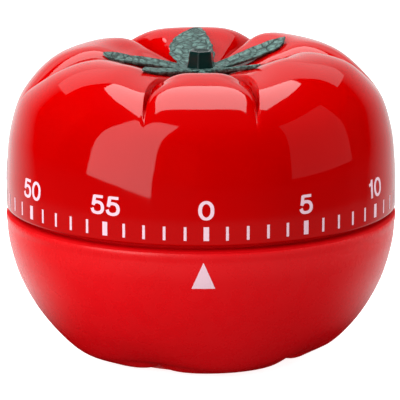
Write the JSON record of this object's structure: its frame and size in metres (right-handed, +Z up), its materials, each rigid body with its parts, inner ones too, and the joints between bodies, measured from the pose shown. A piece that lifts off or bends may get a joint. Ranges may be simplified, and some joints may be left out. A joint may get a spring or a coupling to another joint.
{
  "type": "mechanical kitchen timer",
  "caption": "Tomato-shaped wind-up kitchen timer: glossy lobed dial cap with a printed minute scale turns on a satin lower shell.",
  "frame": {"origin": "centre of the foot ring on the surface it stands on", "axes": "+Z up along the dial's axis, -Y towards the pointer at the front, +X to the right seen from the front"},
  "size_m": [0.0644, 0.0644, 0.0522],
  "materials": {
    "glossy_red": "high gloss moulded plastic",
    "satin_red": "satin moulded plastic",
    "base_red": "plain moulded plastic",
    "calyx_green": "matt, veined",
    "hub_plastic": "natural acetal",
    "cam_plastic": "natural acetal",
    "screw_steel": "zinc plated",
    "plate_steel": "zinc plated sheet",
    "pillar_steel": "turned",
    "arbor_steel": "turned and polished",
    "spring_steel": "blued",
    "bell_steel": "nickel plated",
    "wheel_brass": "stamped brass"
  },
  "bodies": {
    "case": {"lower_shell": "satin_red", "base_plate": "base_red", "base_screws": "screw_steel", "bottom_plate": "plate_steel", "top_plate": "plate_steel", "plate_pillars": "pillar_steel", "plate_nuts": "screw_steel", "lever_spring": "spring_steel", "bell_post": "pillar_steel", "bell_cup": "bell_steel", "bell_nut": "wheel_brass"},
    "dial": {"dial_cap": "glossy_red", "calyx": "calyx_green", "dial_hub": "hub_plastic", "main_arbor": "arbor_steel", "great_wheel": "wheel_brass", "ratchet_wheel": "arbor_steel", "click_spring": "spring_steel", "alarm_cam": "cam_plastic"},
    "click": {"click": "arbor_steel"},
    "second": {"second_wheel": "wheel_brass"},
    "third": {"third_wheel": "wheel_brass"},
    "escape": {"escape_wheel": "wheel_brass"},
    "pallets": {"pallet_lever": "arbor_steel", "balance_bar": "wheel_brass"},
    "barrel": {"mainspring_barrel": "wheel_brass", "mainspring": "spring_steel", "barrel_cover": "wheel_brass"},
    "alarm": {"alarm_wheel": "arbor_steel"},
    "hammer": {"hammer": "arbor_steel"},
    "release": {"release_lever": "plate_steel"}
  },
  "joints": [
    {"name": "dial_turn", "type": "hinge", "parent": "case", "child": "dial", "pos_m": [0, 0, 0.0252], "axis": [0, 0, -1], "range_deg": [0, 360]},
    {"name": "second_wheel_turn", "type": "hinge", "parent": "case", "child": "second", "pos_m": [0.01184, 0.00431, 0.0119], "axis": [0, 0, -1], "range_deg": [-2160, 0]},
    {"name": "third_wheel_turn", "type": "hinge", "parent": "case", "child": "third", "pos_m": [0.0072, 0.01373, 0.01], "axis": [0, 0, -1], "range_deg": [0, 12960]},
    {"name": "escape_wheel_turn", "type": "hinge", "parent": "case", "child": "escape", "pos_m": [-0.00185, 0.01468, 0.0134], "axis": [0, 0, -1], "range_deg": [-77760, 0]},
    {"name": "pallet_swing", "type": "hinge", "parent": "case", "child": "pallets", "pos_m": [-0.00777, 0.01283, 0.0143], "axis": [0, 0, -1], "range_deg": [-3.5, 3.5]},
    {"name": "barrel_turn", "type": "hinge", "parent": "case", "child": "barrel", "pos_m": [0, 0, 0.015], "axis": [0, 0, -1], "range_deg": [0, 144]},
    {"name": "alarm_wheel_turn", "type": "hinge", "parent": "case", "child": "alarm", "pos_m": [-0.0115, -0.00419, 0.0108], "axis": [0, 0, -1], "range_deg": [-720, 0]},
    {"name": "hammer_swing", "type": "hinge", "parent": "case", "child": "hammer", "pos_m": [-0.01272, -0.01128, 0.0219], "axis": [0, 0, -1], "range_deg": [0, 4]},
    {"name": "release_lever_swing", "type": "hinge", "parent": "case", "child": "release", "pos_m": [0.0096, -0.00267, 0.0182], "axis": [0, 0, -1], "range_deg": [0, 6]},
    {"name": "click_lift", "type": "hinge", "parent": "dial", "child": "click", "pos_m": [-0.00192, -0.00526, 0.0095], "axis": [0, 0, -1], "range_deg": [0, 5]}
  ],
  "couplings": [
    {"joint": "second_wheel_turn", "follows": "dial_turn", "ratio": -6},
    {"joint": "third_wheel_turn", "follows": "dial_turn", "ratio": 36},
    {"joint": "escape_wheel_turn", "follows": "dial_turn", "ratio": -216},
    {"joint": "alarm_wheel_turn", "follows": "barrel_turn", "ratio": -5}
  ]
}
